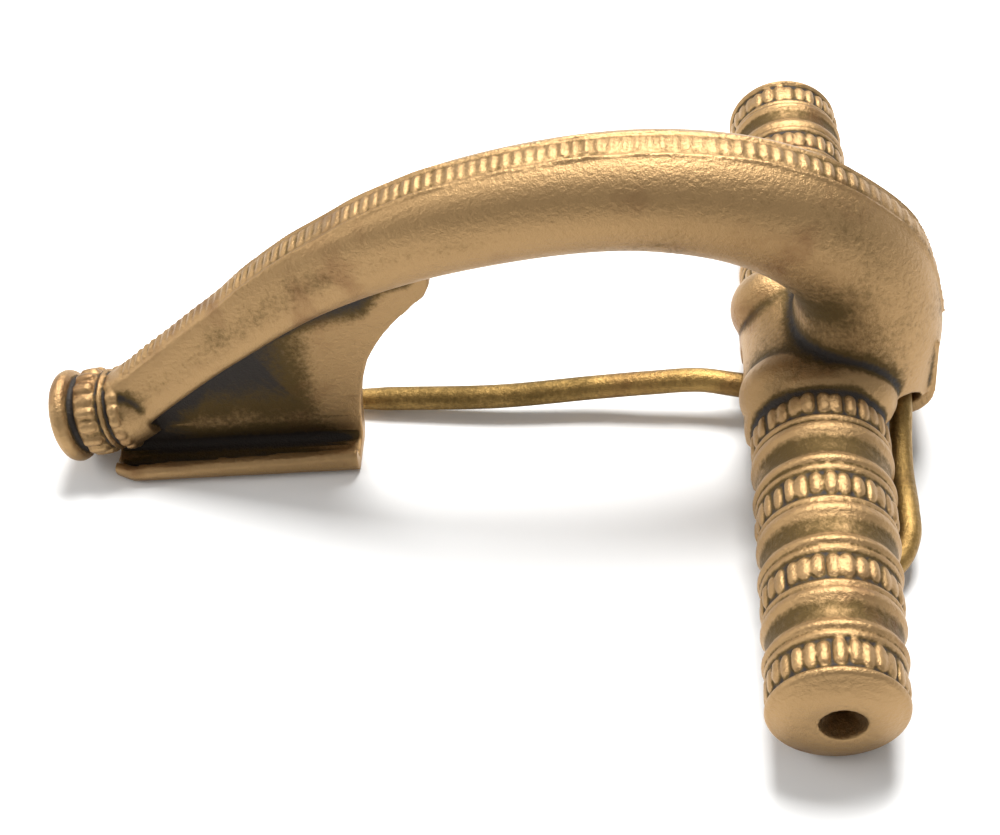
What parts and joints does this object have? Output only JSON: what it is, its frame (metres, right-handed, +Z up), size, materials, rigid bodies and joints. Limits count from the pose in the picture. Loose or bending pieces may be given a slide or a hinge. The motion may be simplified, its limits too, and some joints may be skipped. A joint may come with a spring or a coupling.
{
  "type": "roman bow brooch",
  "caption": "Cast T-shaped bow brooch with ribbed and beaded hollow crossbar, arched bow, foot knob, catchplate and sprung wire pin.",
  "frame": {"origin": "on the surface it lies on, under the middle of the whole brooch's box", "axes": "+X from the foot knob along the bow to the head, +Y along the crossbar, +Z up"},
  "size_m": [0.0648, 0.0614, 0.0254],
  "materials": {
    "cast_bronze": "cast and filed copper alloy, worn bright on high spots, olive-brown patina and dark dirt in hollows",
    "wire_bronze": "hammered copper alloy wire with dull brown patina"
  },
  "bodies": {
    "body": {"brooch_body": "cast_bronze", "spring": "wire_bronze"},
    "pin": {"pin": "wire_bronze"}
  },
  "joints": [
    {"name": "pin_hinge", "type": "hinge", "parent": "body", "child": "pin", "pos_m": [0.02327, 0.0003, 0.00445], "axis": [0, -1, 0], "range_deg": [-5, 30], "stiffness_Nm_per_rad": 0.05}
  ]
}
